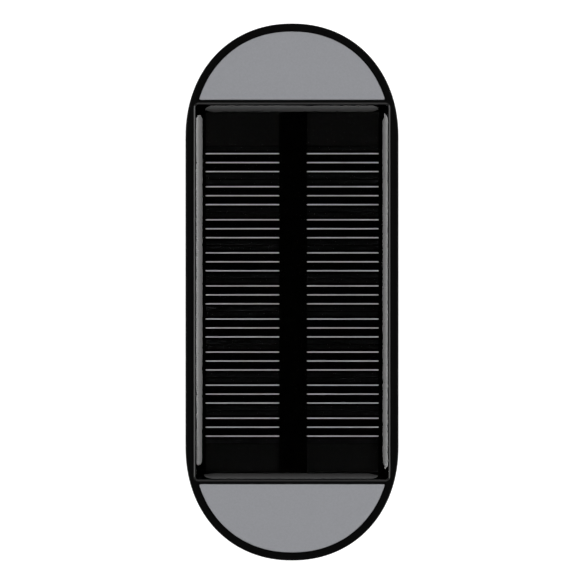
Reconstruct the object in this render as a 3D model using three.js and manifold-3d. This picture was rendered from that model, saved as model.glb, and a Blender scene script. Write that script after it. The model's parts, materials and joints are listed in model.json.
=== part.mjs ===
// A stick-on solar charging unit: a pill-shaped case of two shells that holds a resin-covered cell
// panel between two adhesive foam pads, with a pouch battery and a charge board inside.
// Millimetres. The unit lies on its flat back at z = 0 with its solar face up, +Y runs along it,
// and its outlet, status light and button are in the +X side wall.
import * as THREE from 'three';
import { mergeVertices } from 'three/addons/utils/BufferGeometryUtils.js';
import Module from 'manifold-3d';

const wasm = await Module();
wasm.setup();

// ---------------------------------------------------------------- driving dimensions

// Case outline: straight sides that run into superellipse ends.
const LENGTH = 120;
const WIDTH = 47.6;
const END_LENGTH = 25.45; // from the end of the straight sides to the tip
const END_POWER = 2.12; // 2 would be an ellipse, and a higher power is squarer
const END_STEPS = 32;
const CORNER_STEPS = 3; // in half a corner
const ROUND_SIDES = 16; // on screws, bosses and holes

// Case heights, from the back up.
const BACK_THICKNESS = 1.6;
const PARTING_Z = 3;
const CEILING_Z = 9.3; // underside of the front housing's floor
const POCKET_Z = 10.5; // where the panel is taped down
const RECESS_Z = 11.7; // where the pads are stuck down
const RIM_Z = 12.3;
const LIP_Z = 12.45;
const PAD_Z = 13;

// Case walls.
const WALL = 2;
const RIM_WIDTH = 1.87;
const BACK_RADIUS = 2.8;
const FRONT_RADIUS = 0.5;
const SHELL_STEP = 0.1; // the rear cover is this much smaller all round
const SHADOW_GAP = { depth: 0.4, height: 0.3 };
const CORE_Z = 10.5; // the ceiling is higher at the two ends, where it only carries a pad
const CORE_START = 44.2;
const INSIDE_RADIUS = 1; // where the back meets the walls
const SEAL_GROOVE = { outer: 0.85, inner: 1.45, depth: 0.6 };
const OVERLAP = 0.1; // how far a boss or rib runs into what it stands on
const SEAT_GAP = 0.05; // between pieces that rest on each other
const SLIP = 0.1; // between pieces that drop into each other
const OPENING_GAP = 0.25; // round what shows in a side opening

// Panel.
const PANEL = { width: 42.9, length: 83.56, corner: 0.7 };
const POCKET = grown(PANEL, SLIP);
const LIP = grown(POCKET, 0.44); // the raised lip round the pocket
const PANEL_TAPE = { inset: 0.5, border: 3, height: 0.1 };
const BOARD_Z = POCKET_Z + PANEL_TAPE.height + 2 * SEAT_GAP;
const BOARD_HEIGHT = 1;
const CELL_Z = BOARD_Z + BOARD_HEIGHT;
const CELL_HEIGHT = 0.25;
const CELL_PITCH = 7.385;
const CELL_GAP = 0.15;
const CELLS_PER_STRING = 9;
const FIRST_CELL_Y = 28.9; // centre of the top strip in each string
const FLAT_LENGTH = 80.6; // the two strings and the covers on their ends
const STRINGS = [
  { side: 'left', low: -19.25, high: -2.87 },
  { side: 'right', low: 3.36, high: 19.32 },
];
const DOME_Z = 12.95;
const DOME_EDGE = { width: 1.6, height: 0.6 };
const DOME_SKIRT = 1;

// Pads.
const PAD_START = 42.92; // the pads' straight edges, from the middle of the case
const PAD_EDGE = 0.12;

// Screws and the bosses that take them.
const CASE_SCREW = { head: 1.9, headHeight: 1.1, shank: 0.85, length: 8 };
const CASE_SCREW_PLACES = [[9, 48.5], [-9, 48.5], [-9, -48.5], [9, -48.5]];
const CASE_SCREW_SEAT = 10.4;
const HEAD_GAP = 0.3; // round a screw's head in its counterbore
const BOSS_WALL = 0.9; // round a counterbore in the front housing
const REAR_BOSS = { radius: 2.5, floor: 2.2, top: 5.95 };
const FRONT_BOSS_LOW = 6;
const BOARD_SCREW = { head: 1.5, headHeight: 0.9, shank: 0.7, length: 2.5 };
const BOARD_SCREW_PLACES = [[-17.5, -36.5], [-17.5, -12.5], [8, -38]];
const BOARD_BOSS = { radius: 2.3, holeTop: 10.2 };
const THREAD_GAP = 0.1;

// Battery, taped to the rear cover.
const BATTERY = { width: 34, length: 48, height: 5, corner: 1.8, y: 20.5 };
const BATTERY_EDGE = 1.2;
const BATTERY_TAPE = { width: 26, length: 40, height: 0.1 };
const BATTERY_Z = BACK_THICKNESS + BATTERY_TAPE.height + 2 * SEAT_GAP;
const RIB = { x: 17.8, thickness: 0.8, length: 44, top: 4.2 }; // each side of the battery
const PROTECTION = { width: 30, length: 3.4, height: 0.8, y: -5.6, z: 3.4 };

// Charge board, hung from the ceiling with its parts facing the back.
const CHARGE_BOARD_TOP = 8.6;
const CHARGE_BOARD_Z = 7.6;
const CHARGE_BOARD = { halfWidth: 20.6, low: -41, high: -8.5, chamfer: 3 };
const CHIP_EDGE = 0.15;
const NOTCH = { x: 20.1, low: -18.8 }; // leaves the button room to move

// Side wall fittings, all centred on one line.
const PORT_Z = 6;
const SIDE_X = WIDTH / 2;
const INNER_X = SIDE_X - WALL;
const USB = { y: -29, width: 8.94, height: 3.16, wall: 0.3, length: 7.35, mouth: SIDE_X - 0.6 };
const TONGUE = { width: 6.7, height: 0.7, base: 1.7, recess: 0.6 };
const LIGHT = { y: -21.3, radius: 1, flange: 1.5, flangeHeight: 0.8, start: 19, mouth: SIDE_X - 0.12 };
const LED = { width: 2.8, height: 3.15, depth: 1.9, gap: 0.2 };
const BUTTON = { y: -13, width: 8, height: 3.2, face: SIDE_X - 0.1, chamfer: 0.2 };
const BUTTON_PLATE = { width: 10, height: 4.2, thickness: 0.8 }; // holds the button behind the wall
const BUTTON_STEM = { width: 2.4, height: 2, length: 1 };
const SWITCH = { width: 6, height: 3.1, depth: 4.1, bore: 1.3 };
const PLUNGER = { width: 2, height: 1.4, length: 1.7, shown: 0.9 };
const BORE_GAP = 0.2; // round the plunger in the switch

// Leads.
const LEAD_RADIUS = 0.45;
const LEAD_CORNERS = 4; // in half a turn
const LEAD_STEPS = 14;
const LEAD_SLOT = { x: -8, y: 3, width: 6, length: 3 };

// ---------------------------------------------------------------- materials

const finish = (color, roughness, metalness = 0) =>
  new THREE.MeshStandardMaterial({ color, roughness, metalness });

const CASE_BLACK = finish(0x0c0c0d, 0.6);
const SEAL_BLACK = finish(0x18181a, 0.8);
const PAD_GREY = finish(0x8f9094, 0.9);
const BOARD_BLACK = finish(0x050506, 0.5);
const CELL_BLACK = finish(0x0a0a0c, 0.35);
const COVER_BLACK = finish(0x09090a, 0.5);
const TAPE_WHITE = finish(0xd8d8d4, 0.8);
const STEEL = finish(0xb9bcc0, 0.3, 1);
const POUCH = finish(0xb4b6ba, 0.4, 1);
const BOARD_GREEN = finish(0x14502c, 0.5);
const CHIP_BLACK = finish(0x161618, 0.5);
const FERRITE = finish(0x3c3d40, 0.7);
const TANTALUM = finish(0xc08a2e, 0.5);
const LAMP_WHITE = finish(0xf0efe6, 0.4);
const LEAD_RED = finish(0xa81818, 0.5);
const LEAD_BLACK = finish(0x141416, 0.5);
const CLEAR = finish(0xe8eaec, 0.1);
CLEAR.transparent = true;
CLEAR.opacity = 0.35;

// ---------------------------------------------------------------- outlines

/** One rounded end of the case, from +X over the tip to -X, offset inwards by the inset. */
class EndCurve extends THREE.Curve {
  constructor(inset) {
    super();
    this.inset = inset;
  }

  getPoint(t, target = new THREE.Vector2()) {
    const angle = Math.PI * t;
    const across = Math.sign(Math.cos(angle)) * Math.abs(Math.cos(angle)) ** (2 / END_POWER);
    const along = Math.abs(Math.sin(angle)) ** (2 / END_POWER);
    const normal = new THREE.Vector2(
      Math.sign(across) * Math.abs(across) ** (END_POWER - 1) / (WIDTH / 2),
      along ** (END_POWER - 1) / END_LENGTH,
    ).normalize();
    target.set(across * WIDTH / 2, along * END_LENGTH);
    return target.addScaledVector(normal, -this.inset);
  }
}

/** The case outline, offset inwards by the inset. */
function outline(inset) {
  const end = new EndCurve(inset).getPoints(END_STEPS);
  const start = LENGTH / 2 - END_LENGTH;
  const upper = end.map((p) => new THREE.Vector2(p.x, p.y + start));
  const lower = end.map((p) => new THREE.Vector2(-p.x, -p.y - start));
  return new THREE.Shape([...upper, ...lower]);
}

/** A rounded rectangle with this much more on every side. */
function grown({ width, length, corner }, margin) {
  return { width: width + 2 * margin, length: length + 2 * margin, corner: corner + margin };
}

function roundedRectangle({ width, length, corner }) {
  const x = width / 2 - corner;
  const y = length / 2 - corner;
  const shape = new THREE.Shape();
  shape.absarc(x, y, corner, 0, Math.PI / 2);
  shape.absarc(-x, y, corner, Math.PI / 2, Math.PI);
  shape.absarc(-x, -y, corner, Math.PI, Math.PI * 1.5);
  shape.absarc(x, -y, corner, Math.PI * 1.5, Math.PI * 2);
  return shape;
}

/** A slot with round ends, grown by a margin all round. */
function slot(width, height, margin = 0) {
  const radius = height / 2 + margin;
  const reach = (width - height) / 2;
  const shape = new THREE.Shape();
  shape.absarc(reach, 0, radius, -Math.PI / 2, Math.PI / 2);
  shape.absarc(-reach, 0, radius, Math.PI / 2, Math.PI * 1.5);
  return shape;
}

// ---------------------------------------------------------------- geometry helpers

/** A straight-sided solid between two heights. */
function prism(shape, low, high) {
  const options = { depth: high - low, bevelEnabled: false, curveSegments: CORNER_STEPS };
  return new THREE.ExtrudeGeometry(shape, options).translate(0, 0, low);
}

/** A solid between two heights with the edge of its top and bottom rounded or chamfered. */
function rounded(shape, low, high, bevel) {
  const options = {
    depth: high - low - 2 * bevel.height,
    bevelThickness: bevel.height,
    bevelSize: bevel.width,
    bevelOffset: -bevel.width,
    bevelSegments: bevel.steps,
    curveSegments: CORNER_STEPS,
  };
  return new THREE.ExtrudeGeometry(shape, options).translate(0, 0, low + bevel.height);
}

function block(width, length, low, high, x = 0, y = 0) {
  return new THREE.BoxGeometry(width, length, high - low).translate(x, y, (low + high) / 2);
}

function post(radius, low, high, x = 0, y = 0) {
  return new THREE.CylinderGeometry(radius, radius, high - low, ROUND_SIDES)
    .rotateX(Math.PI / 2)
    .translate(x, y, (low + high) / 2);
}

function solid(geometry) {
  const bare = geometry.clone();
  bare.deleteAttribute('normal');
  bare.deleteAttribute('uv');
  const merged = mergeVertices(bare);
  return new wasm.Manifold(new wasm.Mesh({
    numProp: 3,
    vertProperties: new Float32Array(merged.attributes.position.array),
    triVerts: new Uint32Array(merged.index.array),
  }));
}

const joined = (...geometries) => geometries.map(solid).reduce((sum, next) => sum.add(next));

function cut(body, ...tools) {
  return tools.reduce((left, tool) => left.subtract(solid(tool)), body);
}

function surface(body) {
  const mesh = body.getMesh();
  const geometry = new THREE.BufferGeometry();
  geometry.setAttribute('position', new THREE.BufferAttribute(mesh.vertProperties, 3));
  geometry.setIndex(new THREE.BufferAttribute(mesh.triVerts, 1));
  geometry.computeVertexNormals();
  return geometry;
}

/** Keeps the part of a solid above a height. */
const above = (geometry, z) => cut(solid(geometry), block(2 * LENGTH, 2 * LENGTH, z - LENGTH, z));

/** Keeps the part of a solid below a height. */
const below = (geometry, z) => cut(solid(geometry), block(2 * LENGTH, 2 * LENGTH, z, z + LENGTH));

/** The half-moon of a case outline past a distance from the middle, at one end. */
function endPiece(geometry, start, end) {
  const keep = block(2 * WIDTH, LENGTH, -LENGTH, LENGTH, 0, end * (start + LENGTH / 2));
  return solid(geometry).intersect(solid(keep));
}

// ---------------------------------------------------------------- scene graph

const unit = new THREE.Group();

// In the side group, local x runs along the case, local y runs up and local z points out of the wall.
const side = new THREE.Group();
side.rotation.setFromRotationMatrix(new THREE.Matrix4().makeBasis(
  new THREE.Vector3(0, 1, 0),
  new THREE.Vector3(0, 0, 1),
  new THREE.Vector3(1, 0, 0),
));
side.position.z = PORT_Z;
side.updateMatrix();
unit.add(side);

function part(name, geometry, material, parent = unit) {
  const mesh = new THREE.Mesh(geometry, material);
  mesh.name = name;
  parent.add(mesh);
  return mesh;
}

/** A solid in the side group's axes, moved to the case's. */
const fromSide = (geometry) => geometry.applyMatrix4(side.matrix);

/** The holes that the side wall needs for its fittings. */
function sideOpenings() {
  const low = INNER_X - OVERLAP;
  const high = SIDE_X + OVERLAP;
  return [
    prism(slot(USB.width, USB.height, OPENING_GAP), low, high).translate(USB.y, 0, 0),
    prism(slot(BUTTON.width, BUTTON.height, OPENING_GAP), low, high).translate(BUTTON.y, 0, 0),
    post(LIGHT.radius + SLIP, low, high, LIGHT.y),
  ].map(fromSide);
}

// ---------------------------------------------------------------- case

/** What the two ends of the front housing lose: a raised ceiling inside and a pad recess on top. */
function endHollows(end) {
  const core = endPiece(prism(outline(WALL), CEILING_Z - OVERLAP, CORE_Z), CORE_START, end);
  const recess = endPiece(prism(outline(RIM_WIDTH - SLIP), RECESS_Z, PAD_Z), PAD_START - SLIP, end);
  return core.add(recess);
}

function frontHousing() {
  const round = { width: FRONT_RADIUS, height: FRONT_RADIUS, steps: 3 };
  let body = above(rounded(outline(0), -PARTING_Z, RIM_Z, round), PARTING_Z);
  body = cut(body, prism(outline(WALL), 0, CEILING_Z));
  body = body.subtract(endHollows(1)).subtract(endHollows(-1));
  body = body.add(solid(prism(roundedRectangle(LIP), RIM_Z - FRONT_RADIUS, LIP_Z)));
  body = cut(body, prism(roundedRectangle(POCKET), POCKET_Z, PAD_Z));

  const counterbore = CASE_SCREW.head + HEAD_GAP;
  for (const [x, y] of CASE_SCREW_PLACES) {
    body = body.add(solid(post(counterbore + BOSS_WALL, FRONT_BOSS_LOW, CORE_Z + OVERLAP, x, y)));
    body = cut(
      body,
      post(counterbore, CASE_SCREW_SEAT, PAD_Z, x, y),
      post(CASE_SCREW.shank + THREAD_GAP, 0, PAD_Z, x, y),
    );
  }
  const boardBossLow = CHARGE_BOARD_TOP + SEAT_GAP;
  for (const [x, y] of BOARD_SCREW_PLACES) {
    body = body.add(solid(post(BOARD_BOSS.radius, boardBossLow, CEILING_Z + OVERLAP, x, y)));
    body = cut(body, post(BOARD_SCREW.shank + THREAD_GAP, 0, BOARD_BOSS.holeTop, x, y));
  }

  const { x, y, width, length } = LEAD_SLOT;
  const leadSlot = block(width, length, CEILING_Z - OVERLAP, POCKET_Z + OVERLAP, x, y);
  return surface(cut(body, leadSlot, ...sideOpenings()));
}

function rearCover() {
  const round = { width: BACK_RADIUS, height: BACK_RADIUS, steps: 5 };
  const inside = { width: INSIDE_RADIUS, height: INSIDE_RADIUS, steps: 2 };
  const stepZ = PARTING_Z - SHADOW_GAP.height;
  const rimZ = PARTING_Z - SEAT_GAP;

  let body = below(rounded(outline(SHELL_STEP), 0, 3 * PARTING_Z, round), stepZ);
  body = body.add(solid(prism(outline(SHADOW_GAP.depth), stepZ - OVERLAP, rimZ)));
  body = cut(body, rounded(outline(WALL), BACK_THICKNESS, 3 * PARTING_Z, inside));

  const groove = cut(
    solid(prism(outline(SEAL_GROOVE.outer), rimZ - SEAL_GROOVE.depth, PARTING_Z)),
    prism(outline(SEAL_GROOVE.inner), 0, PARTING_Z),
  );
  body = body.subtract(groove);

  for (const [x, y] of CASE_SCREW_PLACES) {
    body = body.add(solid(post(REAR_BOSS.radius, BACK_THICKNESS - OVERLAP, REAR_BOSS.top, x, y)));
    body = cut(body, post(CASE_SCREW.shank + THREAD_GAP, REAR_BOSS.floor, PAD_Z, x, y));
  }
  for (const x of [RIB.x, -RIB.x]) {
    const rib = block(RIB.thickness, RIB.length, BACK_THICKNESS - OVERLAP, RIB.top, x, BATTERY.y);
    body = body.add(solid(rib));
  }
  return surface(body);
}

function caseSeal() {
  const ring = outline(SEAL_GROOVE.outer + SLIP);
  ring.holes.push(new THREE.Path(outline(SEAL_GROOVE.inner - SLIP).getPoints()));
  return prism(ring, PARTING_Z - SEAL_GROOVE.depth, PARTING_Z - SEAT_GAP / 2);
}

/** A pan-head screw along +Z with its tip at z = 0. */
function screw({ head, headHeight, shank, length }) {
  const tip = shank;
  const shoulder = length + headHeight / 2;
  const top = length + headHeight;
  const profile = [
    [0, 0],
    [shank / 2, 0],
    [shank, tip],
    [shank, length],
    [head, length],
    [head, shoulder],
    [head - headHeight / 3, top],
    [0, top],
  ].map(([radius, z]) => new THREE.Vector2(radius, z));
  const turned = new THREE.LatheGeometry(profile, ROUND_SIDES).rotateX(Math.PI / 2);
  const slotWidth = head / 3;
  return surface(cut(
    solid(turned),
    block(head, slotWidth, shoulder, top + OVERLAP),
    block(slotWidth, head, shoulder, top + OVERLAP),
  ));
}

function addCase() {
  part('front_housing', frontHousing(), CASE_BLACK);
  part('rear_cover', rearCover(), CASE_BLACK);
  part('case_seal', caseSeal(), SEAL_BLACK);

  const caseScrew = screw(CASE_SCREW);
  CASE_SCREW_PLACES.forEach(([x, y], i) => {
    const mesh = part(`case_screw_${i + 1}`, caseScrew, STEEL);
    mesh.position.set(x, y, CASE_SCREW_SEAT + SEAT_GAP - CASE_SCREW.length);
  });
}

// ---------------------------------------------------------------- pads

function addPads() {
  const edge = { width: PAD_EDGE, height: PAD_EDGE, steps: 1 };
  const sheet = () => rounded(outline(RIM_WIDTH), RECESS_Z + SEAT_GAP, PAD_Z, edge);
  part('upper_pad', surface(endPiece(sheet(), PAD_START, 1)), PAD_GREY);
  part('lower_pad', surface(endPiece(sheet(), PAD_START, -1)), PAD_GREY);
}

// ---------------------------------------------------------------- panel

/** The panel's outline with this much less on every side. */
const shrunkPanel = (inset) => roundedRectangle({ ...grown(PANEL, -inset), corner: PANEL.corner });

function panelTape() {
  const { inset, border, height } = PANEL_TAPE;
  const frame = shrunkPanel(inset);
  frame.holes.push(new THREE.Path(shrunkPanel(inset + border).getPoints(CORNER_STEPS)));
  return prism(frame, POCKET_Z + SEAT_GAP, POCKET_Z + SEAT_GAP + height);
}

/** The dome's section across a width: flat below, with both top edges rounded off. */
function domeSection(width, low) {
  const { width: reach, height: drop } = DOME_EDGE;
  const shape = new THREE.Shape();
  shape.moveTo(-width / 2, low);
  shape.lineTo(width / 2, low);
  shape.absellipse(width / 2 - reach, DOME_Z - drop, reach, drop, 0, Math.PI / 2);
  shape.absellipse(reach - width / 2, DOME_Z - drop, reach, drop, Math.PI / 2, Math.PI);
  return shape;
}

function resinDome() {
  const { width, length } = PANEL;
  const low = CELL_Z + SEAT_GAP;
  const lying = (section, reach) => prism(section, -reach / 2, reach / 2).rotateX(Math.PI / 2);
  const along = lying(domeSection(width, low), length);
  const across = lying(domeSection(length, low), width).rotateZ(Math.PI / 2);
  const crowned = solid(along)
    .intersect(solid(across))
    .intersect(solid(prism(roundedRectangle(PANEL), 0, PAD_Z)));
  return surface(cut(crowned, prism(shrunkPanel(DOME_SKIRT), 0, CELL_Z + CELL_HEIGHT + 2 * SEAT_GAP)));
}

function addString({ side: name, low, high }) {
  const x = (low + high) / 2;
  const strip = (length) => block(high - low, length - CELL_GAP, CELL_Z + SEAT_GAP, CELL_Z + CELL_HEIGHT);
  const cell = strip(CELL_PITCH);
  for (let i = 0; i < CELLS_PER_STRING; i += 1) {
    part(`${name}_cell_${i + 1}`, cell, CELL_BLACK).position.set(x, FIRST_CELL_Y - i * CELL_PITCH, 0);
  }

  const top = FIRST_CELL_Y + CELL_PITCH / 2;
  const bottom = top - CELLS_PER_STRING * CELL_PITCH;
  const covers = { upper: [top, FLAT_LENGTH / 2], lower: [-FLAT_LENGTH / 2, bottom] };
  for (const [end, [from, to]] of Object.entries(covers)) {
    part(`${name}_${end}_cover`, strip(to - from), COVER_BLACK).position.set(x, (from + to) / 2, 0);
  }
}

function addPanel() {
  part('panel_tape', panelTape(), TAPE_WHITE);
  part('panel_board', prism(roundedRectangle(PANEL), BOARD_Z, CELL_Z), BOARD_BLACK);
  STRINGS.forEach(addString);
  part('resin_dome', resinDome(), CLEAR);
}

// ---------------------------------------------------------------- battery

function addBattery() {
  const { width, length, height, corner, y } = BATTERY;
  const edge = { width: BATTERY_EDGE, height: BATTERY_EDGE, steps: 3 };
  const pouch = rounded(roundedRectangle(BATTERY), BATTERY_Z, BATTERY_Z + height, edge);
  part('battery_cell', pouch, POUCH).position.y = y;

  const tapeZ = BACK_THICKNESS + SEAT_GAP;
  const tape = block(BATTERY_TAPE.width, BATTERY_TAPE.length, tapeZ, tapeZ + BATTERY_TAPE.height);
  part('battery_tape', tape, TAPE_WHITE).position.y = y;

  const { z } = PROTECTION;
  const board = block(PROTECTION.width, PROTECTION.length, z, z + PROTECTION.height);
  part('battery_protection_board', board, BOARD_GREEN).position.y = PROTECTION.y;
}

// ---------------------------------------------------------------- charge board

function chargeBoard() {
  const { halfWidth, low, high, chamfer } = CHARGE_BOARD;
  const shape = new THREE.Shape([
    [-halfWidth + chamfer, low],
    [halfWidth - chamfer, low],
    [halfWidth, low + chamfer],
    [halfWidth, NOTCH.low],
    [NOTCH.x, NOTCH.low],
    [NOTCH.x, high],
    [-halfWidth, high],
    [-halfWidth, low + chamfer],
  ].map(([x, y]) => new THREE.Vector2(x, y)));
  const holes = BOARD_SCREW_PLACES.map(([x, y]) => post(BOARD_SCREW.shank + THREAD_GAP, 0, PAD_Z, x, y));
  return surface(cut(solid(prism(shape, CHARGE_BOARD_Z, CHARGE_BOARD_TOP)), ...holes));
}

/** Parts soldered under the board: name, material, width, length, height, x and y. */
const BOARD_PARTS = [
  ['charge_controller', CHIP_BLACK, 4, 4, 0.9, -5, -25],
  ['inductor', FERRITE, 5, 5, 2.8, 3.5, -31],
  ['input_capacitor', TANTALUM, 6, 3.2, 2.6, -8, -19.5],
  ['output_capacitor', TANTALUM, 6, 3.2, 2.6, 7, -23],
  ['blocking_diode', CHIP_BLACK, 4.3, 2.6, 2.2, -13, -27],
];

function addChargeBoard() {
  part('charge_board', chargeBoard(), BOARD_GREEN);
  const underside = CHARGE_BOARD_Z - SEAT_GAP;
  for (const [name, material, width, length, height, x, y] of BOARD_PARTS) {
    const edge = { width: CHIP_EDGE, height: CHIP_EDGE, steps: 1 };
    const body = roundedRectangle({ width, length, corner: 2 * CHIP_EDGE });
    const geometry = rounded(body, underside - height, underside, edge);
    part(name, geometry, material).position.set(x, y, 0);
  }

  const boardScrew = screw(BOARD_SCREW).rotateX(Math.PI);
  BOARD_SCREW_PLACES.forEach(([x, y], i) => {
    const mesh = part(`board_screw_${i + 1}`, boardScrew, STEEL);
    mesh.position.set(x, y, underside + BOARD_SCREW.length);
  });
}

// ---------------------------------------------------------------- side wall fittings

function addOutlet() {
  const { width, height, wall, length, mouth, y } = USB;
  const tube = slot(width, height);
  tube.holes.push(new THREE.Path(slot(width, height, -wall).getPoints(CORNER_STEPS)));
  part('usb_shell', prism(tube, mouth - length, mouth), STEEL, side).position.x = y;

  const base = slot(width, height, -wall - SEAT_GAP);
  const back = mouth - length + SLIP;
  const tongue = joined(
    prism(base, back, back + TONGUE.base),
    block(TONGUE.width, TONGUE.height, back + TONGUE.base - OVERLAP, mouth - TONGUE.recess),
  );
  part('usb_tongue', surface(tongue), CHIP_BLACK, side).position.x = y;
}

function addStatusLight() {
  const { radius, flange, flangeHeight, start, mouth, y } = LIGHT;
  const flangeTop = INNER_X - SEAT_GAP;
  const profile = [
    [0, start],
    [radius, start],
    [radius, flangeTop - flangeHeight],
    [flange, flangeTop - flangeHeight],
    [flange, flangeTop],
    [radius, flangeTop],
    [radius, mouth],
    [0, mouth],
  ].map(([r, z]) => new THREE.Vector2(r, z));
  const pipe = new THREE.LatheGeometry(profile, ROUND_SIDES).rotateX(Math.PI / 2);
  part('light_pipe', pipe, CLEAR, side).position.x = y;

  const ledTop = start - LED.gap;
  const led = block(LED.width, LED.height, ledTop - LED.depth, ledTop);
  part('status_led', led, LAMP_WHITE, side).position.x = y;
}

function addButton() {
  const { width, height, face, chamfer, y } = BUTTON;
  const edge = { width: chamfer, height: chamfer, steps: 2 };
  const plateTop = INNER_X - SEAT_GAP;
  const plateLow = plateTop - BUTTON_PLATE.thickness;
  const stem = plateLow - BUTTON_STEM.length;
  const button = above(rounded(slot(width, height), stem, face, edge), plateTop - OVERLAP)
    .add(solid(block(BUTTON_PLATE.width, BUTTON_PLATE.height, plateLow, plateTop)))
    .add(solid(block(BUTTON_STEM.width, BUTTON_STEM.height, stem, plateLow + OVERLAP)));
  part('power_button', surface(button), CASE_BLACK, side).position.x = y;

  const plungerTop = stem - SEAT_GAP;
  const plunger = block(PLUNGER.width, PLUNGER.height, plungerTop - PLUNGER.length, plungerTop);
  part('switch_plunger', plunger, CHIP_BLACK, side).position.x = y;

  const switchTop = plungerTop - PLUNGER.shown;
  const boreWidth = PLUNGER.width + 2 * BORE_GAP;
  const boreHeight = PLUNGER.height + 2 * BORE_GAP;
  const bore = block(boreWidth, boreHeight, switchTop - SWITCH.bore, switchTop + OVERLAP);
  const body = cut(solid(block(SWITCH.width, SWITCH.height, switchTop - SWITCH.depth, switchTop)), bore);
  part('switch_body', surface(body), STEEL, side).position.x = y;
}

// ---------------------------------------------------------------- leads

/** A round insulated lead through the given points. */
function lead(points) {
  const path = new THREE.CatmullRomCurve3(points.map(([x, y, z]) => new THREE.Vector3(x, y, z)));
  const section = new THREE.Shape();
  section.absarc(0, 0, LEAD_RADIUS, 0, 2 * Math.PI);
  return new THREE.ExtrudeGeometry(section, {
    steps: LEAD_STEPS,
    curveSegments: LEAD_CORNERS,
    extrudePath: path,
  });
}

/** From the back of the panel board, through the slot, over the battery and under the charge board. */
const panelLeadRoute = (x, turn) => [
  [x, 3, BOARD_Z - SEAT_GAP],
  [x, 3, 9.4],
  [x, 2.2, 8.4],
  [x + turn * 0.3, -1, 7.9],
  [x + turn * 0.8, -5, 7.4],
  [x + turn, -9, 7],
  [x + turn, -13.5, 7],
];

/** From the protection board to the underside of the charge board. */
const batteryLeadRoute = (x, turn) => [
  [x, -7.4, 3.8],
  [x + turn * 0.2, -9, 4],
  [x + turn * 0.6, -10.6, 5.4],
  [x + turn, -12.2, 6.8],
  [x + turn, -15, 7],
];

function addLeads() {
  part('panel_lead_positive', lead(panelLeadRoute(-6.8, 1)), LEAD_RED);
  part('panel_lead_negative', lead(panelLeadRoute(-9.2, -1)), LEAD_BLACK);
  part('battery_lead_positive', lead(batteryLeadRoute(3, 1)), LEAD_RED);
  part('battery_lead_negative', lead(batteryLeadRoute(0.5, -1)), LEAD_BLACK);
}

addCase();
addPads();
addPanel();
addBattery();
addChargeBoard();
addOutlet();
addStatusLight();
addButton();
addLeads();

export default unit;
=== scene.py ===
"""The looks of a stick-on solar charging unit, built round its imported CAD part.

The unit lies on its flat back with its solar face up (+Z) and +Y along it. Outlines and profiles
are written in millimetres, and meshes are made in metres. A profile is a path of (inset, height)
points that is swept round an outline: the inset is how far inside the outline a point is.
"""

import json
import math

import bmesh
import bpy
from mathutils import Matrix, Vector


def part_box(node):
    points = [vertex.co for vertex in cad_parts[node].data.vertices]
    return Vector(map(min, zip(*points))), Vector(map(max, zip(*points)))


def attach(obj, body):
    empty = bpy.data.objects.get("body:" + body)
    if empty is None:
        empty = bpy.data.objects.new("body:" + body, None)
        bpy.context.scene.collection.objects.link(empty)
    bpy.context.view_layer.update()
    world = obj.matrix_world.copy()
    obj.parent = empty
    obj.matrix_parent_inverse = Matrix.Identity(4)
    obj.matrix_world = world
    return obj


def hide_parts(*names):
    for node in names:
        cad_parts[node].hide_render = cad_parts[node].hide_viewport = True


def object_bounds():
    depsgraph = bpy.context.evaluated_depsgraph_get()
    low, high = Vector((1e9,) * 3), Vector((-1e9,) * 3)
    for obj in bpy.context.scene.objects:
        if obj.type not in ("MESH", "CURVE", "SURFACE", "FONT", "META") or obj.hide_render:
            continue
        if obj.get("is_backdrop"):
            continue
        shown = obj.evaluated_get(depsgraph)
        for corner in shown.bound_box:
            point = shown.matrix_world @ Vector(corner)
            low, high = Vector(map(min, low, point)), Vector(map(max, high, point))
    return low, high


MM = 0.001

# Outline of the case.
END_LENGTH = 25.45  # from the end of the straight sides to the tip
END_POWER = 2.12  # of the superellipse that the ends follow
END_STEPS = 72

# Mesh density.
ROUND_STEPS = 6  # along a rounded edge
CORNER_STEPS = 8  # round a quarter of a corner
SUPPORT = 0.03  # a narrow flat band beside each rounded edge, which keeps flat faces looking flat
SHARP_ANGLE = math.radians(50)
SMALLEST_CORNER = 0.05  # an outline's corners get no tighter than this as it shrinks
FINE_EDGE = 0.05  # radius of the edges that look sharp

# Case, from the back up.
BACK_THICKNESS = 1.6
BACK_RADIUS = 2.3
INSIDE_RADIUS = 1.0  # where the back meets the walls inside
SHELL_STEP = 0.1  # the rear cover is this much smaller than the housing all round
SHADOW_GAP = {"depth": 0.4, "height": 0.3}  # at the parting line
SEAL_GROOVE = {"outer": 0.85, "inner": 1.45, "depth": 0.6}
SEAT_GAP = 0.05  # between pieces that rest on each other
OVERLAP = 0.05  # how far the button's stem runs into its plate
WALL = 2.0
PARTING_Z = 3.0
FOOT_HEIGHT = 0.4  # of the profile at the bottom of the housing's walls
CEILING_Z = 9.3
POCKET_Z = 10.5
LIP_FOOT_Z = 11.8  # the lip's inner side is glossy, and painted lighter as a highlight, down to here
RIM_DROP = 0.15  # the rim is this much lower than the lip round the panel
RIM_WIDTH = 1.87
RIM_EDGE = 0.4
LIP_GAP = 0.1  # between the panel and the lip round it
LIP_WIDTH = 0.36
LIP_CHAMFER = {"width": 0.16, "slope": 0.4}  # on the outer edge of its top
LIP_DRAFT = 0.03  # the lip's outer side leans in this much

# Pads.
PAD_GAP = 0.06
PAD_START = 42.92  # from the middle of the case to a pad's straight edge
PAD_CORNER = 0.35
PAD_EDGE = {"lower": 0.08, "upper": 0.14}
PAD_CROWN = 0.04  # how much higher the middle is than the edge
PAD_RINGS = (1.2, 2.4, 4.0, 6.0)  # insets that the crown rises through

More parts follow.
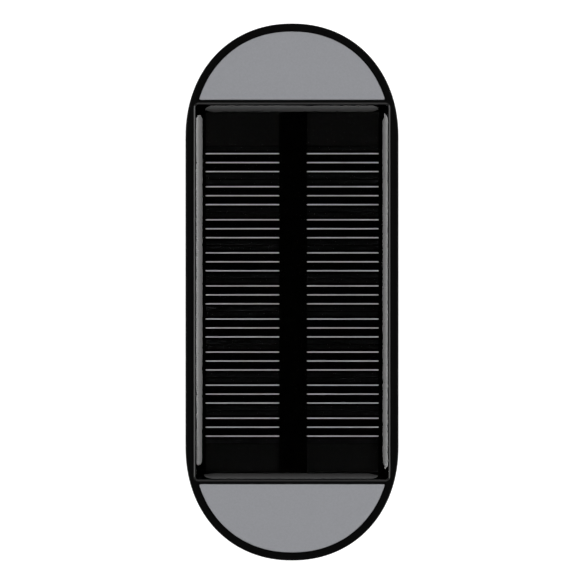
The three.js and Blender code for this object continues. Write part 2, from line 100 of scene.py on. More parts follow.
# Fittings in the side wall.
PORT_Z = 6.0  # they are all centred on this height
OPENING_GAP = 0.25
OPENING_EDGE = 0.15
USB_SHELL = {"wall": 0.3, "edge": 0.1}
TONGUE = {"width": 6.7, "height": 0.7, "base": 1.7, "corner": 0.2, "edge": 0.1}
CONTACT = {"width": 0.26, "pitch": 0.5, "count": 12, "proud": 0.04, "edge": 0.02, "recess": 0.5}
LIGHT = {"radius": 1.0, "gap": 0.1, "flange": 0.8, "crown": 0.12}
BUTTON_FACE = (8.0, 3.2)
BUTTON_EDGE = {"radius": 0.3, "drop": 0.06}
BUTTON_CROWN = [(0.5, 0.045), (0.7, 0.03), (1.1, 0)]  # insets, and how far below the middle
BUTTON_PLATE = {"thickness": 0.8, "corner": 0.3, "edge": 0.08}  # holds it behind the wall
BUTTON_STEM = {"width": 2.4, "height": 2.0, "corner": 0.2}

# Panel.
PANEL_CORNER = 0.6
SHOULDER = {"width": 1.61, "outer_slope": 0.55, "inner_slope": 0.2, "steps": 16}
SHOULDER_CORNER = {"inner": 2.8, "outer": 3.5}  # radii round the corners of the panel
CREASE = 0.3  # how wide the change from the shoulder to the flat is
CREASE_STEPS = 6
EDGE_CHAMFER = 0.025
LEDGE = 0.03  # level, and wider at the corners, where the shoulder's corners are rounder
SKIRT = {"width": 1.0, "depth": 0.27}  # the border of the resin, which reaches down past the cells
STRIP = {"corner": 0.08, "edge": 0.03}
LINE = {"width": 0.25, "height": 0.03, "spacing": 2.0, "corner": 0.06, "edge": 0.012}
BAND = {"margin": 0.65, "height": 0.012, "corner": 0.05, "edge": 0.005}  # dark, under the lines
PRINT_DEPTH = 0.01  # how far the printed lines and bands run into the cell

# Studio.
PHOTO_SPAN = 130.35  # what the picture takes in, in millimetres
LENS = 300.0
SENSOR = 36.0
LIGHT_DISTANCE = 1.0  # from the unit to the softboxes, in metres
FLOOR_REACH = 4  # each way, in metres
FLOOR_GAP = 0.0002  # under the unit, in metres


# ------------------------------------------------------------------ outlines, in millimetres


def pill(half_width, half_length):
    """The case outline as a function of the inset: straight sides and superellipse ends."""

    def end(inset):
        for step in range(END_STEPS + 1):
            angle = math.pi * step / END_STEPS
            across = math.copysign(abs(math.cos(angle)) ** (2 / END_POWER), math.cos(angle))
            along = abs(math.sin(angle)) ** (2 / END_POWER)
            normal = Vector((
                math.copysign(abs(across) ** (END_POWER - 1), across) / half_width,
                along ** (END_POWER - 1) / END_LENGTH,
            )).normalized()
            yield Vector((across * half_width, along * END_LENGTH)) - normal * inset

    def outline(inset):
        start = Vector((0, half_length - END_LENGTH))
        upper = [point + start for point in end(inset)]
        return upper + [-point for point in upper]

    return outline


def rectangle(width, length, corner, steps=CORNER_STEPS):
    """A rounded rectangle as a function of the inset."""

    def outline(inset):
        radius = max(corner - inset, SMALLEST_CORNER)
        reach = Vector((width / 2 - inset - radius, length / 2 - inset - radius))
        points = []
        for quarter, (side_x, side_y) in enumerate([(1, 1), (-1, 1), (-1, -1), (1, -1)]):
            centre = Vector((reach.x * side_x, reach.y * side_y))
            for step in range(steps + 1):
                angle = (quarter + step / steps) * math.pi / 2
                points.append(centre + radius * Vector((math.cos(angle), math.sin(angle))))
        return points

    return outline


def slot(width, height):
    """A slot with round ends. With equal width and height it is a circle."""
    steps = 2 * CORNER_STEPS
    reach = Vector(((width - height) / 2, 0))

    def outline(inset):
        points = []
        for end in (1, -1):
            for step in range(steps + (reach.x > 0)):
                angle = (step / steps - 0.5) * math.pi
                out = Vector((math.cos(angle), math.sin(angle)))
                points.append((reach + out * (height / 2 - inset)) * end)
        return points

    return outline


def circle(radius):
    return slot(2 * radius, 2 * radius)


def half_moon(case, end, rim, start):
    """What lies inside the rim and past a distance from the middle, at one end of the case."""

    def outline(inset):
        curve = [p for p in case(rim + inset) if p.y > 0 and p.x >= 0]
        low = start + inset
        rise = low + PAD_CORNER

        def across(height):
            """Half the width of the end at this height, and nothing at the tip."""
            above = next((i for i, p in enumerate(curve) if p.y > height), None)
            if above is None:
                return 0
            a, b = curve[above - 1], curve[above]
            return a.lerp(b, (height - a.y) / (b.y - a.y)).x

        corner = Vector((across(low), low))
        first = Vector((corner.x - PAD_CORNER, low))
        last = Vector((across(rise), rise))
        right = rounded_corner(first, corner, last, CORNER_STEPS)
        tip = case(rim + inset)[END_STEPS // 2].y
        for step in range(1, END_STEPS // 2 + 1):
            share = math.sin(step / (END_STEPS // 2) * math.pi / 2)
            height = rise + (tip - rise) * share
            right.append(Vector((across(height), height)))
        left = [Vector((-p.x, p.y)) for p in reversed(right[:-1])]
        return [Vector((p.x, p.y * end)) for p in right + left]

    return outline


def rounded_corner(first, corner, last, steps):
    """A quarter turn from the first point to the last, tangent to the lines to the corner."""
    points = []
    for step in range(steps + 1):
        angle = step / steps * math.pi / 2
        swing = (first - corner) * (1 - math.sin(angle)) + (last - corner) * (1 - math.cos(angle))
        points.append(corner + swing)
    return points


def rounded_path(*corners):
    """A path through the corners, each (inset, height) or (inset, height, radius)."""
    path = []
    places = [Vector(corner[:2]) for corner in corners]
    for i, corner in enumerate(corners):
        here = places[i]
        if len(corner) == 2:
            path.append(here)
            continue
        radius = corner[2]
        back = (places[i - 1] - here).normalized()
        ahead = (places[i + 1] - here).normalized()
        path.append(here + back * (radius + SUPPORT))
        path += rounded_corner(here + back * radius, here, here + ahead * radius, ROUND_STEPS)
        path.append(here + ahead * (radius + SUPPORT))
    return path


# ------------------------------------------------------------------ meshes


def upright(x, y, z):
    return Vector((x, y, z))


def moved(centre_x, centre_y):
    return lambda x, y, z: Vector((x + centre_x, y + centre_y, z))


def sideways(centre_y, up=0.0):
    """Places an outline in the side wall. It runs along the case and up, and heights go out."""
    return lambda x, y, z: Vector((z, x + centre_y, y + PORT_Z + up))


class Shell:
    """A closed mesh made of rings of points."""

    def __init__(self):
        self.mesh = bmesh.new()

    def ring(self, outline, height, place=upright):
        return [self.mesh.verts.new(place(p.x, p.y, height) * MM) for p in outline]

    def band(self, first, second, material=0, leave_out=None):
        """Joins two rings with quads. Returns the corners of the quad left out, if there is one."""
        count = len(first)
        window = None
        for i in range(count):
            j = (i + 1) % count
            corners = [first[i], first[j], second[j], second[i]]
            if i == leave_out:
                window = corners
            else:
                self.mesh.faces.new(corners).material_index = material
        return window

    def sweep(self, outline, path, material=0, place=upright):
        """Sweeps a path round an outline, and returns the rings."""
        rings = [self.ring(outline(inset), height, place) for inset, height in path]
        for first, second in zip(rings, rings[1:]):
            self.band(first, second, material)
        return rings

    def fill(self, outer, *holes, material=0):
        """Fills the flat area inside one loop and outside the others."""
        edges = []
        for loop in (outer, *holes):
            for i, vert in enumerate(loop):
                pair = (vert, loop[(i + 1) % len(loop)])
                edges.append(self.mesh.edges.get(pair) or self.mesh.edges.new(pair))
        made = bmesh.ops.triangle_fill(self.mesh, use_beauty=True, edges=edges)
        for item in made["geom"]:
            if isinstance(item, bmesh.types.BMFace):
                item.material_index = material

    def cap(self, ring, material=0):
        self.mesh.faces.new(ring).material_index = material

    def plate(self, outline, low, high, edge, material=0, place=upright):
        """A closed plate with rounded upper edges."""
        path = rounded_path((0, low), (0, high, edge), (2 * edge + SUPPORT, high))
        rings = self.sweep(outline, path, material, place)
        self.cap(rings[0], material)
        self.cap(rings[-1], material)

    def finish(self, node, *materials, body="case"):
        """Makes the piece that stands for a CAD node."""
        bmesh.ops.recalc_face_normals(self.mesh, faces=self.mesh.faces)
        data = bpy.data.meshes.new(f"{node}_mesh")
        self.mesh.to_mesh(data)
        self.mesh.free()
        data.shade_smooth()
        data.set_sharp_from_angle(angle=SHARP_ANGLE)
        for material in materials:
            data.materials.append(material)
        piece = bpy.data.objects.new(f"{node}_finished", data)
        bpy.context.scene.collection.objects.link(piece)
        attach(piece, body)
        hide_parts(node)
        return piece


def extent(node):
    """A CAD node's lowest and highest corner, in millimetres."""
    low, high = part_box(node)
    return low / MM, high / MM


def size(node):
    low, high = extent(node)
    return high - low


def middle(node):
    low, high = extent(node)
    return (low + high) / 2


# ------------------------------------------------------------------ materials

PATCH = 25  # the patches that roughness varies in are this many grains wide


def link(tree, source, target):
    tree.links.new(source, target)


def noise(tree, grain, detail=6.0, stretch=(1, 1, 1)):
    """Noise with features of about one grain, in millimetres, and smaller."""
    coordinates = tree.nodes.new("ShaderNodeTexCoord")
    mapping = tree.nodes.new("ShaderNodeMapping")
    mapping.inputs["Scale"].default_value = [1 / (grain * MM * s) for s in stretch]
    texture = tree.nodes.new("ShaderNodeTexNoise")
    texture.inputs["Scale"].default_value = 1
    texture.inputs["Detail"].default_value = detail
    texture.inputs["Roughness"].default_value = 0.6
    link(tree, coordinates.outputs["Object"], mapping.inputs["Vector"])
    link(tree, mapping.outputs["Vector"], texture.inputs["Vector"])
    return texture.outputs["Fac"]


def spread(tree, value, low, high):
    """Turns the middle of a noise's range into the range from low to high."""
    node = tree.nodes.new("ShaderNodeMapRange")
    node.inputs["From Min"].default_value = 0.3
    node.inputs["From Max"].default_value = 0.7
    node.inputs["To Min"].default_value = low
    node.inputs["To Max"].default_value = high
    link(tree, value, node.inputs["Value"])
    return node.outputs["Result"]


def blend_colours(tree, factor, low, high):
    node = tree.nodes.new("ShaderNodeMix")
    node.data_type = "RGBA"
    node.inputs["A"].default_value = (*low, 1)
    node.inputs["B"].default_value = (*high, 1)
    link(tree, factor, node.inputs["Factor"])
    return node.outputs["Result"]


def bumps(tree, height, depth):
    """A normal from a height texture that is this deep, in millimetres."""
    node = tree.nodes.new("ShaderNodeBump")
    node.inputs["Distance"].default_value = depth * MM
    link(tree, height, node.inputs["Height"])
    return node.outputs["Normal"]


def material(
    name, colours, roughness, grain, depth, stretch=(1, 1, 1), specular=0.5, metallic=0.0
):
    """A surface whose colour and roughness wander between two values, with a fine relief."""
    made = bpy.data.materials.new(name)
    made.use_nodes = True
    tree = made.node_tree
    shader = tree.nodes["Principled BSDF"]
    shader.inputs["Specular IOR Level"].default_value = specular
    shader.inputs["Metallic"].default_value = metallic
    fine = noise(tree, grain, stretch=stretch)
    broad = noise(tree, PATCH * grain, detail=3)
    link(tree, blend_colours(tree, spread(tree, fine, 0, 1), *colours), shader.inputs["Base Color"])
    link(tree, spread(tree, broad, *roughness), shader.inputs["Roughness"])
    link(tree, bumps(tree, fine, depth), shader.inputs["Normal"])
    return made


def clear(name, roughness, grain, depth, ior=1.55):
    """Clear resin. Its gloss is plain, and only its relief is a texture."""
    made = bpy.data.materials.new(name)
    made.use_nodes = True
    tree = made.node_tree
    shader = tree.nodes["Principled BSDF"]
    shader.inputs["Base Color"].default_value = (1, 1, 1, 1)
    shader.inputs["Roughness"].default_value = roughness
    shader.inputs["IOR"].default_value = ior
    shader.inputs["Transmission Weight"].default_value = 1
    link(tree, bumps(tree, noise(tree, grain, detail=2), depth), shader.inputs["Normal"])
    return made


def greys(low, high, blue=0.0):
    """Two greys, with this much more blue in them than red and green."""
    return [(level, level, level * (1 + blue)) for level in (low, high)]


# Grain and depth are in millimetres.
SURFACES = {
    "case_black": dict(
        colours=greys(0.0016, 0.0023),
        roughness=(0.34, 0.42), grain=0.25, depth=0.004, specular=0.06,
    ),
    # The lip is the housing's own black moulding, polished. Its colour is painted lighter than the
    # case black as a painted highlight along the lip's bead.
    "lip_black_painted_highlight": dict(
        colours=greys(0.013, 0.017), roughness=(0.1, 0.14), grain=0.25, depth=0.0005, specular=0.4
    ),
    "seal": dict(colours=greys(0.008, 0.012), roughness=(0.6, 0.75), grain=0.3, depth=0.004),
    "pad_grey": dict(
        colours=((0.259, 0.263, 0.279), (0.282, 0.286, 0.304)),
        roughness=(0.85, 0.95), grain=0.4, depth=0.012, specular=0.1,
    ),
    "panel_black": dict(
        colours=greys(0.0001, 0.0002), roughness=(0.45, 0.55), grain=0.5, depth=0.003, specular=0
    ),
    "cell": dict(
        colours=greys(0.0053, 0.0074, 0.1), roughness=(0.4, 0.5), grain=0.6, depth=0.002, specular=0
    ),
    "string_cover": dict(
        colours=greys(0.0053, 0.0074), roughness=(0.5, 0.6), grain=0.6, depth=0.003, specular=0
    ),
    "printed_band": dict(
        colours=greys(0.0002, 0.0006), roughness=(0.4, 0.5), grain=0.6, depth=0.002, specular=0
    ),
    "printed_line": dict(
        colours=greys(0.67, 0.79, 0.07), roughness=(0.5, 0.6), grain=0.15, depth=0.004, specular=0
    ),
    "tape": dict(colours=greys(0.62, 0.72), roughness=(0.7, 0.85), grain=0.3, depth=0.01),
    "screw_steel": dict(
        colours=greys(0.45, 0.56), roughness=(0.25, 0.4), grain=0.15, depth=0.002, metallic=1
    ),
    "plated_steel": dict(
        colours=greys(0.52, 0.62, 0.03),
        roughness=(0.2, 0.32), grain=0.2, depth=0.001, stretch=(12, 1, 1), metallic=1,
    ),
    "gold": dict(
        colours=((0.72, 0.46, 0.14), (0.83, 0.56, 0.2)),
        roughness=(0.22, 0.3), grain=0.1, depth=0.001, metallic=1,
    ),
    "pouch_foil": dict(
        colours=greys(0.42, 0.54), roughness=(0.3, 0.45), grain=0.8, depth=0.02, metallic=1
    ),
    "board_green": dict(
        colours=((0.004, 0.055, 0.018), (0.008, 0.085, 0.03)),
        roughness=(0.3, 0.42), grain=0.35, depth=0.006,
    ),
    "moulded_black": dict(
        colours=greys(0.006, 0.01), roughness=(0.5, 0.62), grain=0.12, depth=0.004
    ),
    "ferrite": dict(colours=greys(0.03, 0.06), roughness=(0.6, 0.8), grain=0.1, depth=0.01),
    "capacitor_amber": dict(
        colours=((0.48, 0.2, 0.02), (0.6, 0.27, 0.04)),
        roughness=(0.4, 0.55), grain=0.15, depth=0.004,
    ),
    "led_white": dict(
        colours=((0.8, 0.79, 0.72), (0.88, 0.87, 0.8)),
        roughness=(0.3, 0.4), grain=0.2, depth=0.002,
    ),
    "lead_red": dict(
        colours=((0.33, 0.008, 0.008), (0.42, 0.014, 0.012)),
        roughness=(0.4, 0.55), grain=0.2, depth=0.004,
    ),
    "lead_black": dict(colours=greys(0.006, 0.01), roughness=(0.4, 0.55), grain=0.2, depth=0.004),
}

# The resin wets the cells and the pocket, so its hidden faces neither bend nor return light.
RESINS = {
    "clear_resin": dict(roughness=0.02, grain=8, depth=0.0004),
    "wetted_resin": dict(roughness=0.02, grain=8, depth=0.0004, ior=1.0),
    "light_pipe": dict(roughness=0.08, grain=1, depth=0.002),
}


def make_materials():
    made = {name: material(name, **facts) for name, facts in SURFACES.items()}
    made.update({name: clear(name, **facts) for name, facts in RESINS.items()})
    return made


# ------------------------------------------------------------------ case


def side_openings():
    """The outline and the place of each opening in the side wall, from the fitting in it."""
    usb = size("usb_shell")
    outlines = {
        "usb_shell": slot(usb.y + 2 * OPENING_GAP, usb.z + 2 * OPENING_GAP),
        "power_button": slot(*(side + 2 * OPENING_GAP for side in BUTTON_FACE)),
        "light_pipe": circle(LIGHT["radius"] + LIGHT["gap"]),
    }
    return [(outline, sideways(middle(node).y)) for node, outline in outlines.items()]


def front_housing(case, paint):
    """The black shell with the panel's pocket, the recesses for the pads and the side openings."""
    shell = Shell()
    high = extent("front_housing")[1]
    lip_z = high.z
    rim_z = lip_z - RIM_DROP
    recess_z = extent("upper_pad")[0].z - SEAT_GAP
    outer_x, inner_x = high.x, high.x - WALL
    straight_side = 2 * END_STEPS + 1  # the ring's last edge, along the +X side

    foot = shell.sweep(case, rounded_path(
        (WALL, PARTING_Z + FOOT_HEIGHT),
        (WALL, PARTING_Z, 0.1),
        (0, PARTING_Z, 0.15),
        (0, PARTING_Z + FOOT_HEIGHT),
    ))
    brow = shell.sweep(case, rounded_path(
        (0, rim_z - RIM_EDGE - 0.2),
        (0, rim_z, RIM_EDGE),
        (RIM_EDGE + 0.1, rim_z),
    ))
    ceiling = shell.ring(case(WALL), CEILING_Z)
    outer_window = shell.band(foot[-1], brow[0], leave_out=straight_side)
    inner_window = shell.band(ceiling, foot[0], leave_out=straight_side)
    shell.cap(ceiling)

    outer_holes, inner_holes = [], []
    for outline, place in side_openings():
        rings = shell.sweep(outline, rounded_path(
            (-OPENING_EDGE - 0.1, outer_x),
            (0, outer_x, OPENING_EDGE),
            (0, inner_x, FINE_EDGE),
            (-FINE_EDGE - 0.1, inner_x),
        ), place=place)
        outer_holes.append(rings[0])
        inner_holes.append(rings[-1])
    shell.fill(outer_window, *outer_holes)
    shell.fill(inner_window, *inner_holes)

    top_holes = []
    for end in (1, -1):
        recess = half_moon(case, end, RIM_WIDTH - PAD_GAP, PAD_START - PAD_GAP)
        rings = shell.sweep(recess, rounded_path(
            (-0.12, rim_z),
            (0, rim_z, 0.06),
            (0, recess_z, FINE_EDGE),
            (0.3, recess_z),
        ))
        top_holes.append(rings[0])
        shell.cap(rings[-1])

    panel = size("resin_dome")
    border = LIP_GAP + LIP_WIDTH
    lip = rectangle(panel.x + 2 * border, panel.y + 2 * border, PANEL_CORNER + border)
    chamfer_z = lip_z - LIP_CHAMFER["width"] * LIP_CHAMFER["slope"]
    # The lip's bead and inner side take the polished black, whose lighter colour is a painted
    # highlight.
    bead = shell.sweep(lip, rounded_path(
        (-0.1, rim_z),
        (0, rim_z, 0.01),
        (LIP_DRAFT, chamfer_z, 0.01),
        (LIP_DRAFT + LIP_CHAMFER["width"], lip_z, 0.02),
        (LIP_WIDTH, lip_z, FINE_EDGE),
        (LIP_WIDTH, LIP_FOOT_Z + 0.1),
    ), material=1)
    top_holes.append(bead[0])
    pocket = shell.sweep(lip, rounded_path(
        (LIP_WIDTH, LIP_FOOT_Z),
        (LIP_WIDTH, POCKET_Z, 0.1),
        (LIP_WIDTH + 0.4, POCKET_Z),
    ))
    shell.band(bead[-1], pocket[0])
    shell.cap(pocket[-1])
    shell.fill(brow[-1], *top_holes)
    return shell.finish("front_housing", paint["case_black"], paint["lip_black_painted_highlight"])


def rear_cover(case, paint):
    """The shallow back shell, with the seal's groove and the shadow gap round its rim."""
    shell = Shell()
    back = extent("rear_cover")[0].z
    inside = back + BACK_THICKNESS
    step_z = PARTING_Z - SHADOW_GAP["height"]
    rim_z = PARTING_Z - SEAT_GAP
    groove_z = rim_z - SEAL_GROOVE["depth"]
    flat = 0.4  # how far the profile runs on past its first and last edge
    rings = shell.sweep(case, rounded_path(
        (WALL + INSIDE_RADIUS + flat, inside),
        (WALL, inside, INSIDE_RADIUS),
        (WALL, rim_z, FINE_EDGE),
        (SEAL_GROOVE["inner"], rim_z, FINE_EDGE),
        (SEAL_GROOVE["inner"], groove_z, FINE_EDGE),
        (SEAL_GROOVE["outer"], groove_z, FINE_EDGE),
        (SEAL_GROOVE["outer"], rim_z, FINE_EDGE),
        (SHADOW_GAP["depth"], rim_z, FINE_EDGE),
        (SHADOW_GAP["depth"], step_z, FINE_EDGE),
        (SHELL_STEP, step_z, 0.12),
        (SHELL_STEP, back, BACK_RADIUS),
        (SHELL_STEP + BACK_RADIUS + flat, back),
    ))
    shell.cap(rings[0])
    shell.cap(rings[-1])
    return shell.finish("rear_cover", paint["case_black"])


def pad(case, node, end, paint):
    """A die-cut foam half-moon with soft edges and a slight crown."""
    shell = Shell()
    low, high = extent(node)
    edge_z = high.z - PAD_CROWN
    path = rounded_path(
        (0.3, low.z),
        (0, low.z, PAD_EDGE["lower"]),
        (0, edge_z, PAD_EDGE["upper"]),
        (0.4, edge_z),
    )
    for inset in PAD_RINGS:
        share = math.sin(inset / PAD_RINGS[-1] * math.pi / 2)
        path.append(Vector((inset, high.z - PAD_CROWN * (1 - share))))
    rings = shell.sweep(half_moon(case, end, RIM_WIDTH, PAD_START), path)
    shell.cap(rings[0])
    shell.cap(rings[-1])
    return shell.finish(node, paint["pad_grey"])


# ------------------------------------------------------------------ panel


def strip(shell, node):
    """A flat strip with softened edges in the place of a CAD node."""
    outline = rectangle(size(node).x, size(node).y, STRIP["corner"])
    low, high = extent(node)
    shell.plate(outline, low.z, high.z, STRIP["edge"], place=moved(*middle(node).xy))


def cell(node, paint):
    """A cell strip with its three printed lines on a dark band."""
    shell = Shell()
    strip(shell, node)
    width = size(node).x
    centre = middle(node)
    top = extent(node)[1].z
    foot = top - PRINT_DEPTH

    band = rectangle(width, 2 * (LINE["spacing"] + BAND["margin"]), BAND["corner"])
    place = moved(*centre.xy)
    shell.plate(band, foot, top + BAND["height"], BAND["edge"], material=2, place=place)
    line = rectangle(width, LINE["width"], LINE["corner"])
    for step in (-1, 0, 1):
        place = moved(centre.x, centre.y + step * LINE["spacing"])
        shell.plate(line, foot, top + LINE["height"], LINE["edge"], material=1, place=place)
    return shell.finish(node, paint["cell"], paint["printed_line"], paint["printed_band"])


def string_cover(node, paint):
    shell = Shell()
    strip(shell, node)
    return shell.finish(node, paint["string_cover"])


def shoulder_slope(inset):
    """How steep the resin's shoulder is, easing to level across the crease."""
    width, outer, inner = SHOULDER["width"], SHOULDER["outer_slope"], SHOULDER["inner_slope"]
    on_shoulder = outer + (inner - outer) * min(inset / width, 1)
    ease = min(max((width + CREASE / 2 - inset) / CREASE, 0), 1)
    return on_shoulder * ease


def shoulder_corner(inset):
    """The radius of the shoulder's corners, which stops shrinking half way in."""
    inner, outer = SHOULDER_CORNER["inner"], SHOULDER_CORNER["outer"]
    share = max(1 - 2 * inset / SHOULDER["width"], 0)
    return inner + (outer - inner) * share ** 2


def shoulder_insets():
    """How far from the edge each ring of the shoulder is, closer together where it bends."""
    start, end = EDGE_CHAMFER + LEDGE, SHOULDER["width"] - CREASE / 2
    steps = SHOULDER["steps"]
    insets = [start + (end - start) * i / steps for i in range(steps)]
    insets += [end + CREASE * i / CREASE_STEPS for i in range(CREASE_STEPS + 1)]
    return insets + [end + 2 * CREASE]


def resin_dome(paint):
    """A flat top with a shoulder that falls away to the edge and turns wide round the corners."""
    shell = Shell()
    low, high = extent("resin_dome")

    def ring(inset, z, corner=PANEL_CORNER):
        """A ring whose corners have this radius, whatever its inset."""
        outline = rectangle(2 * high.x, 2 * high.y, corner + inset, 2 * CORNER_STEPS)
        return shell.ring(outline(inset), z)

    insets = shoulder_insets()
    heights = [0.0]
    for a, b in zip(insets, insets[1:]):
        heights.append(heights[-1] + (b - a) * (shoulder_slope(a) + shoulder_slope(b)) / 2)
    edge_z = high.z - heights[-1]

    under = [
        ring(SKIRT["width"] + 0.2, low.z + SKIRT["depth"]),
        ring(SKIRT["width"], low.z + SKIRT["depth"]),
        ring(SKIRT["width"], low.z),
        ring(EDGE_CHAMFER, low.z),
    ]
    wall = [
        ring(0, low.z + EDGE_CHAMFER),
        ring(0, edge_z - 2 * EDGE_CHAMFER),
        ring(0, edge_z - EDGE_CHAMFER),
    ]
    ledge = [
        ring(EDGE_CHAMFER, edge_z),
        ring(EDGE_CHAMFER + LEDGE / 3, edge_z),
        ring(EDGE_CHAMFER + LEDGE * 2 / 3, edge_z, shoulder_corner(0)),
    ]
    top = [ring(i, edge_z + rise, shoulder_corner(i)) for i, rise in zip(insets, heights)]

    wetted = [*under, *wall]
    for first, second in zip(wetted, wetted[1:]):
        shell.band(first, second, material=1)
    rings = [wall[-1], *ledge, *top]
    for first, second in zip(rings, rings[1:]):
        shell.band(first, second)
    shell.cap(under[0], material=1)
    shell.cap(top[-1])
    return shell.finish("resin_dome", paint["clear_resin"], paint["wetted_resin"])


# ------------------------------------------------------------------ side wall fittings


def behind_wall():
    """The side wall's inner face, less the gap to what sits against it."""
    return extent("front_housing")[1].x - WALL - SEAT_GAP


def usb_shell(paint):
    """The outlet's plated sleeve."""
    shell = Shell()
    low, high = extent("usb_shell")
    rings = shell.sweep(slot(high.y - low.y, high.z - low.z), rounded_path(
        (0, low.x),
        (0, high.x, USB_SHELL["edge"]),
        (USB_SHELL["wall"], high.x, USB_SHELL["edge"]),
        (USB_SHELL["wall"], low.x),
    ), place=sideways(middle("usb_shell").y))
    shell.band(rings[-1], rings[0])
    return shell.finish("usb_shell", paint["plated_steel"])


def usb_tongue(paint):
    """The moulded tongue, with a row of contacts on each face."""
    shell = Shell()
    low, high = extent("usb_tongue")
    centre = middle("usb_tongue")
    place = sideways(centre.y)
    base_x = low.x + TONGUE["base"]
    base = slot(high.y - low.y, high.z - low.z)
    shell.plate(base, low.x, base_x, TONGUE["edge"], place=place)
    blade = rectangle(TONGUE["width"], TONGUE["height"], TONGUE["corner"])
    shell.plate(blade, base_x - TONGUE["edge"], high.x, TONGUE["edge"], place=place)

    contact = rectangle(CONTACT["width"], 2 * CONTACT["proud"], CONTACT["proud"] / 2)
    tip = high.x - CONTACT["recess"]
    for face in (1, -1):
        for i in range(CONTACT["count"]):
            across = (i - (CONTACT["count"] - 1) / 2) * CONTACT["pitch"]
            place = sideways(centre.y + across, face * TONGUE["height"] / 2)
            shell.plate(contact, base_x, tip, CONTACT["edge"], material=1, place=place)
    return shell.finish("usb_tongue", paint["moulded_black"], paint["gold"])


def light_pipe(paint):
    """A clear rod with a flange behind the wall and a slightly crowned face."""
    shell = Shell()
    low, high = extent("light_pipe")
    flange = (high.z - low.z) / 2
    rod = flange - LIGHT["radius"]
    flange_x = behind_wall()
    rings = shell.sweep(circle(flange), rounded_path(
        (flange - 0.3, low.x),
        (rod, low.x, 0.1),
        (rod, flange_x - LIGHT["flange"], FINE_EDGE),
        (0, flange_x - LIGHT["flange"], 0.08),
        (0, flange_x, 0.08),
        (rod, flange_x, FINE_EDGE),
        (rod, high.x - LIGHT["crown"], 0.1),
        (rod + 0.4, high.x - LIGHT["crown"] / 4),
        (rod + 0.8, high.x),
    ), place=sideways(middle("light_pipe").y))
    shell.cap(rings[0])
    shell.cap(rings[-1])
    return shell.finish("light_pipe", paint["light_pipe"])


def power_button(paint):
    """The button's crowned face, the plate that holds it behind the wall, and its stem."""
    shell = Shell()
    low, high = extent("power_button")
    place = sideways(middle("power_button").y)
    plate_top = behind_wall()
    crown = [(inset, high.x - drop) for inset, drop in BUTTON_CROWN]
    edge = (0, high.x - BUTTON_EDGE["drop"], BUTTON_EDGE["radius"])
    path = rounded_path((0, plate_top - 0.1), edge, *crown)
    rings = shell.sweep(slot(*BUTTON_FACE), path, place=place)
    shell.cap(rings[0])
    shell.cap(rings[-1])

    plate_foot = plate_top - BUTTON_PLATE["thickness"]
    plate = rectangle(high.y - low.y, high.z - low.z, BUTTON_PLATE["corner"])
    shell.plate(plate, plate_foot, plate_top, BUTTON_PLATE["edge"], place=place)
    stem = rectangle(BUTTON_STEM["width"], BUTTON_STEM["height"], BUTTON_STEM["corner"])
    shell.plate(stem, low.x, plate_foot + OVERLAP, FINE_EDGE, place=place)
    return shell.finish("power_button", paint["case_black"], body="button")


# ------------------------------------------------------------------ studio


def floor():
    """A plain pale floor that is bright enough to lose its shadows, and clear from below."""
    mesh = bmesh.new()
    bmesh.ops.create_grid(mesh, x_segments=8, y_segments=8, size=FLOOR_REACH)
    data = bpy.data.meshes.new("floor_mesh")
    mesh.to_mesh(data)
    mesh.free()
    piece = bpy.data.objects.new("floor", data)
    piece.location.z = -FLOOR_GAP
    bpy.context.scene.collection.objects.link(piece)
    piece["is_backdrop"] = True

    made = bpy.data.materials.new("floor_white")
    made.use_nodes = True
    tree = made.node_tree
    shader = tree.nodes["Principled BSDF"]
    shader.inputs["Base Color"].default_value = (0.5, 0.5, 0.5, 1)
    shader.inputs["Roughness"].default_value = 0.9
    shader.inputs["Specular IOR Level"].default_value = 0
    shader.inputs["Emission Color"].default_value = (1, 1, 1, 1)
    shader.inputs["Emission Strength"].default_value = 0.85
    unseen = tree.nodes.new("ShaderNodeBsdfTransparent")
    side = tree.nodes.new("ShaderNodeNewGeometry")
    choose = tree.nodes.new("ShaderNodeMixShader")
    link(tree, side.outputs["Backfacing"], choose.inputs["Fac"])
    link(tree, shader.outputs["BSDF"], choose.inputs[1])
    link(tree, unseen.outputs["BSDF"], choose.inputs[2])
    link(tree, choose.outputs["Shader"], tree.nodes["Material Output"].inputs["Surface"])
    data.materials.append(made)


def sky():
    """White behind the unit, but black to light and reflections, so that the panel looks black."""
    world = bpy.data.worlds.new("studio")
    world.use_nodes = True
    bpy.context.scene.world = world
    tree = world.node_tree
    background = tree.nodes["Background"]
    background.inputs["Color"].default_value = (1, 1, 1, 1)
    path = tree.nodes.new("ShaderNodeLightPath")
    link(tree, path.outputs["Is Camera Ray"], background.inputs["Strength"])


def light(name, azimuth, elevation, distance, across, up):
    """An elliptical light of radiance one that faces the unit and doesn't show in the picture."""
    data = bpy.data.lights.new(name, "AREA")
    data.shape = "ELLIPSE"
    data.size, data.size_y = across, up
    data.energy = math.pi * (math.pi / 4 * across * up)
    lamp = bpy.data.objects.new(name, data)
    away = Vector((
        math.cos(azimuth) * math.cos(elevation),
        math.sin(azimuth) * math.cos(elevation),
        math.sin(elevation),
    ))
    lamp.location = away * distance
    lamp.rotation_euler = away.to_track_quat("Z", "Y").to_euler()
    lamp.visible_camera = False
    bpy.context.scene.collection.objects.link(lamp)
    return lamp


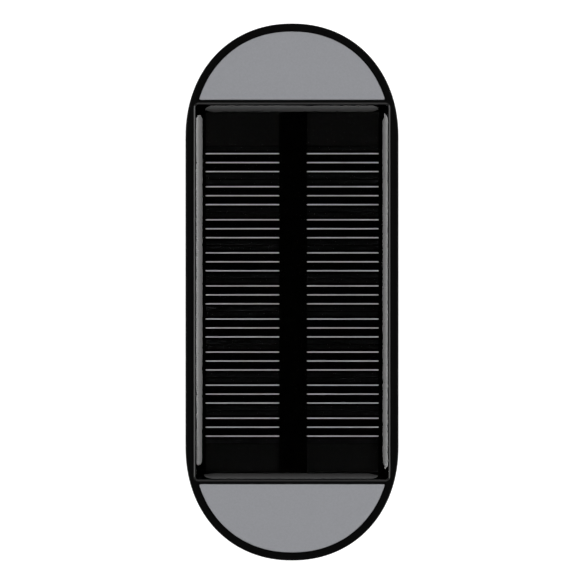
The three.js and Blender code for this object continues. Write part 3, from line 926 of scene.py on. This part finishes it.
def softbox(name, azimuth, reach, low, high, radiance):
    """A light that reaches this far to each side of its azimuth, from one elevation to another.

    Angles are in degrees. The radiance fades from its first value, at the foot, to its second.
    """
    elevation = math.radians((low + high) / 2)
    across = 2 * LIGHT_DISTANCE * math.cos(elevation) * math.tan(math.radians(reach))
    up = 2 * LIGHT_DISTANCE * math.tan(math.radians((high - low) / 2))
    lamp = light(name, math.radians(azimuth), elevation, LIGHT_DISTANCE, across, up)
    lamp.data.use_nodes = True
    tree = lamp.data.node_tree
    place = tree.nodes.new("ShaderNodeNewGeometry")
    split = tree.nodes.new("ShaderNodeSeparateXYZ")
    fade = tree.nodes.new("ShaderNodeMath")
    fade.operation = "POWER"
    fade.inputs[0].default_value = radiance[1] / radiance[0]
    scale = tree.nodes.new("ShaderNodeMath")
    scale.operation = "MULTIPLY"
    scale.inputs[1].default_value = radiance[0]
    link(tree, place.outputs["Parametric"], split.inputs["Vector"])
    link(tree, split.outputs["Y"], fade.inputs[1])
    link(tree, fade.outputs["Value"], scale.inputs[0])
    link(tree, scale.outputs["Value"], tree.nodes["Emission"].inputs["Strength"])


def fill_light():
    """Wide soft light from overhead that leaves no highlight."""
    width, height, radiance = 2.0, 1.5, 1.35
    lamp = light("fill", 0, math.pi / 2, height, width, width)
    lamp.data.energy *= radiance
    lamp.visible_glossy = False


def camera():
    """Looks straight down at the solar face, with +Y up the picture."""
    data = bpy.data.cameras.new("camera")
    data.lens = LENS
    data.sensor_width = SENSOR
    distance = PHOTO_SPAN * MM * LENS / SENSOR
    data.clip_start, data.clip_end = distance / 10, distance * 20
    low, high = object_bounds()
    eye = bpy.data.objects.new("camera", data)
    eye.location = ((low.x + high.x) / 2, (low.y + high.y) / 2, high.z + distance)
    bpy.context.scene.collection.objects.link(eye)
    bpy.context.scene.camera = eye


def studio():
    """A pale floor, and lights whose reflections are the highlights on the resin's shoulder."""
    floor()
    sky()
    softbox("left_box", azimuth=171, reach=21, low=29.5, high=65.5, radiance=(7.6, 1.9))
    softbox("right_box", azimuth=4, reach=31, low=28.5, high=57.5, radiance=(7.6, 2.2))
    softbox("upper_box", azimuth=91, reach=27, low=33, high=66, radiance=(1.64, 0.38))
    softbox("lower_box", azimuth=266, reach=29, low=31.5, high=57.5, radiance=(1.33, 0.4))
    fill_light()
    bpy.context.scene.view_settings.view_transform = "Standard"


# ------------------------------------------------------------------ whole unit

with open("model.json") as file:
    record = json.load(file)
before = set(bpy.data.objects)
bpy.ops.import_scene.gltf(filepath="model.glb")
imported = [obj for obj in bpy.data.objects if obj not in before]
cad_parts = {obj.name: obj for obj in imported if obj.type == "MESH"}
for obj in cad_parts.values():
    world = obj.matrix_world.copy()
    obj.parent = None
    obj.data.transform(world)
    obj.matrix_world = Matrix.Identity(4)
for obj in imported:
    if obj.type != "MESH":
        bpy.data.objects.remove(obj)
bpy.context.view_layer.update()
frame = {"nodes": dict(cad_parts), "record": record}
SLOTS = {part["node"]: part["material_slot"] for part in frame["record"]["subparts"]}
paint = make_materials()
for node, part in frame["nodes"].items():
    part.data.materials.clear()
    part.data.materials.append(paint[SLOTS[node]])

case_half = extent("front_housing")[1]
case = pill(case_half.x, case_half.y)
front_housing(case, paint)
rear_cover(case, paint)
pad(case, "upper_pad", 1, paint)
pad(case, "lower_pad", -1, paint)
for node in sorted(SLOTS):
    if SLOTS[node] == "cell":
        cell(node, paint)
    elif SLOTS[node] == "string_cover":
        string_cover(node, paint)
resin_dome(paint)
usb_shell(paint)
usb_tongue(paint)
light_pipe(paint)
power_button(paint)
camera()
studio()
